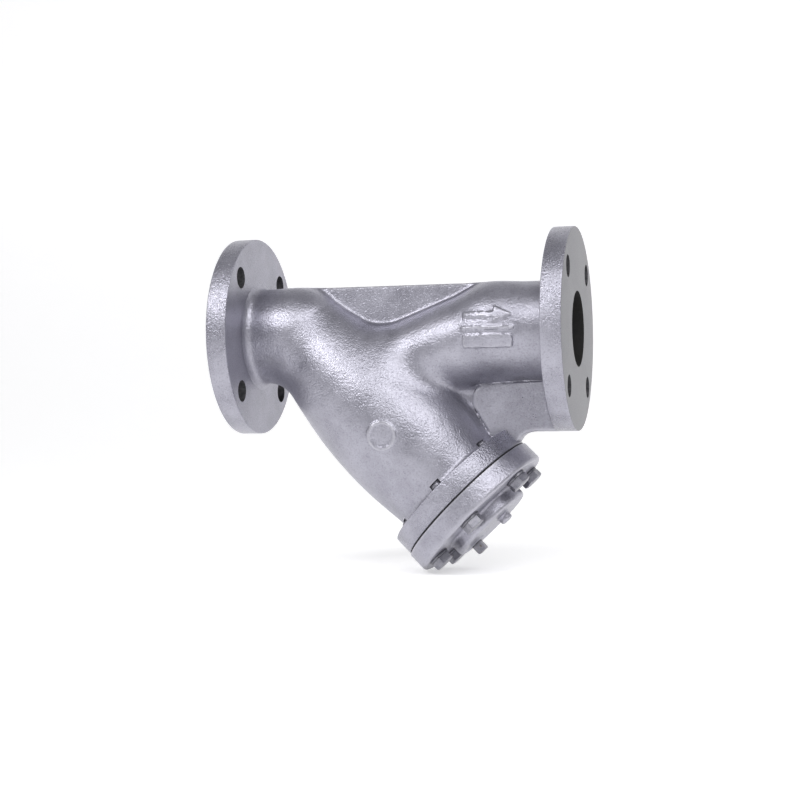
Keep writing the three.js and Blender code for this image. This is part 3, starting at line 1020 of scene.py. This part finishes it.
def stainless(name, brushed=False):
    """Stainless sheet: rolling marks along it, or turned marks round the rings, with brownish painted
    shade in its corners.
    """
    if name in MADE:
        return MADE[name]
    f = Finish(name, metallic=1.0)
    stretch = (0.12, 0.12, 3.0) if brushed else (1.6, 1.6, 0.07)
    lines = f.noise(0.7, 4, 0.6, branch_coords(f, stretch))
    cloud = f.noise(16, 3)
    colour = f.mix(f.spread(cloud, 0.3, 0.7), (0.52, 0.51, 0.50, 1), (0.64, 0.63, 0.61, 1))
    colour = f.mix(f.spread(lines, 0.35, 0.65, 0.35, 0.0), colour, (0.36, 0.35, 0.34, 1))
    # Painted shade: brownish darkening towards corners, where shade falls.
    colour = f.mix(f.spread(f.corner_shade(2.5), 0.2, 0.8, 0.5, 0.0), colour, (0.14, 0.12, 0.10, 1))
    rough = f.math("ADD", f.spread(lines, 0.3, 0.7, 0.34, 0.22), f.spread(cloud, 0.3, 0.7, 0.0, 0.08))
    return f.done(colour, rough, f.bump(lines, 0.03, 0.6))


def woven_wire():
    """Fine square-woven wire cloth."""
    f = Finish("wire_cloth", metallic=0.9)
    turned_coords = branch_coords(f, (1, 1, 1))
    parts = f.add("ShaderNodeSeparateXYZ", {"Vector": turned_coords}).outputs
    angle = f.math("ARCTAN2", parts["Y"], parts["X"])
    round_wave = f.math("SINE", f.math("MULTIPLY", angle, 300))
    long_wave = f.math("SINE", f.math("MULTIPLY", parts["Z"], 2 * math.pi / (0.75 * MM)))
    wires = f.math("MAXIMUM", f.math("ABSOLUTE", round_wave), f.math("ABSOLUTE", long_wave))
    weave = f.math("MULTIPLY", round_wave, long_wave)
    cloud = f.noise(14, 3)
    bright = f.mix(f.spread(cloud, 0.3, 0.7), (0.40, 0.39, 0.38, 1), (0.55, 0.54, 0.52, 1))
    colour = f.mix(f.spread(wires, 0.55, 0.85), (0.05, 0.05, 0.05, 1), bright)
    rough = f.spread(weave, -1, 1, 0.45, 0.30)
    return f.done(colour, rough, f.bump(f.math("ADD", wires, f.math("MULTIPLY", weave, 0.4)), 0.15, 1.0))


def finish(obj, *materials):
    """Gives obj its materials, the first on every face."""
    obj.data.materials.clear()
    for material in materials:
        obj.data.materials.append(material)


# ---------------------------------------------------------------- assembly

def place_piece(piece, body, slot, *nodes):
    """Hangs a piece on the body it rides on and hides the solids it stands for; the slot for its finish is
    not used.
    """
    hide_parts(*nodes)
    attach(piece, body)


place_piece(make_body(), "body", "body_paint", "inlet_flange", "inlet_neck", "barrel_head", "barrel_skirt",
            "branch_flange", "outlet_neck", "outlet_flange", "top_rib", "bottom_rib")
place_piece(make_cover(), "cover", "cover_paint", "cover")
place_piece(make_gasket(), "gasket", "gasket", "cover_gasket")
place_piece(make_screen_sheet(), "screen", "screen_steel",
            *(f"screen_stave_{stave}" for stave in range(1, SCREEN_STAVES + 1)))
place_piece(make_liner(), "screen", "screen_mesh", "screen_mesh_liner")
place_piece(make_screen_ring("inlet_ring", SEAT_S, 1), "screen", "screen_steel", "screen_inlet_ring")
place_piece(make_screen_ring("cover_ring", 221.5, -1), "screen", "screen_steel", "screen_cover_ring")
place_piece(make_plug(), "plug", "plug_steel", "drain_plug")
for number, (bolt_spot, head_turn) in enumerate(zip(COVER_BOLT_SPOTS, HEAD_TURNS), 1):
    body_name = f"bolt_{number}"
    place_piece(make_bolt(number, bolt_spot, head_turn), body_name, "bolt_steel", f"cover_bolt_{number}")
    place_piece(make_washer(number, bolt_spot), body_name, "bolt_steel", f"bolt_washer_{number}")


# ---------------------------------------------------------------- stage, light and camera

def make_camera():
    """The viewpoint: just below the pipe axis, from the front and to the outlet side."""
    azimuth, elevation, roll = (math.radians(a) for a in CAMERA_ANGLES)
    look = Vector((-math.sin(azimuth) * math.cos(elevation), math.cos(azimuth) * math.cos(elevation),
                   -math.sin(elevation)))
    right = Vector((math.cos(azimuth), math.sin(azimuth), 0))
    up = right.cross(look)
    side = right * math.cos(roll) + up * math.sin(roll)
    head = up * math.cos(roll) - right * math.sin(roll)
    camera = bpy.data.objects.new("camera", bpy.data.cameras.new("camera"))
    axes = Matrix((side, head, -look)).transposed().to_4x4()
    camera.matrix_world = Matrix.Translation(CAMERA_PLACE) @ axes
    camera.data.sensor_width = 36
    camera.data.lens = CAMERA_LENS
    bpy.context.scene.collection.objects.link(camera)
    bpy.context.scene.camera = camera


def area_light(name, place, target, size, power):
    """A soft square light aimed at a point."""
    lamp = bpy.data.lights.new(name, "AREA")
    lamp.size = size
    lamp.energy = power
    obj = bpy.data.objects.new(name, lamp)
    obj.location = place
    obj.rotation_euler = (Vector(target) - Vector(place)).to_track_quat("-Z", "Y").to_euler()
    bpy.context.scene.collection.objects.link(obj)


def make_stage():
    """A pale floor that curves up behind into a backdrop."""
    floor_z = cad_box[0][2] - 0.001
    profile = [(-1.6, 0.0), (FLOOR_END_Y, 0.0)]
    profile += [(FLOOR_END_Y + COVE_R * math.sin(a), COVE_R - COVE_R * math.cos(a))
                for a in np.linspace(0.15, math.pi / 2, 10)]
    profile.append((FLOOR_END_Y + COVE_R, 3.5))
    points = [(x * 1000, y * 1000, (floor_z + z) * 1000) for x in (-4, 4) for y, z in profile]
    count = len(profile)
    faces = [(i, i + 1, count + i + 1, count + i) for i in range(count - 1)]
    floor = new_object("floor", mesh_from("floor", points, faces))
    floor.data.shade_smooth()
    material = bpy.data.materials.new("floor")
    material.use_nodes = True
    shader = material.node_tree.nodes["Principled BSDF"]
    shader.inputs["Base Color"].default_value = (0.8, 0.8, 0.8, 1)
    shader.inputs["Roughness"].default_value = 0.9
    shader.inputs["Emission Color"].default_value = (1, 1, 1, 1)
    shader.inputs["Emission Strength"].default_value = 0.46
    floor.data.materials.append(material)


def make_world():
    """An even, dim surround."""
    world = bpy.data.worlds.new("surround")
    world.use_nodes = True
    background = world.node_tree.nodes["Background"]
    background.inputs["Color"].default_value = (0.96, 0.96, 1.0, 1)
    background.inputs["Strength"].default_value = 0.32
    bpy.context.scene.world = world


make_camera()
make_stage()
make_world()
area_light("key", (0.60, -1.45, 1.30), (0, 0, -0.05), 1.2, 15)
area_light("left_key", (-0.90, -1.40, 1.12), (-0.1, 0, 0), 0.6, 15)
area_light("right_fill", (1.30, -0.75, 1.35), (0.05, 0, 0), 0.8, 8)
bpy.context.scene.view_settings.view_transform = "Standard"
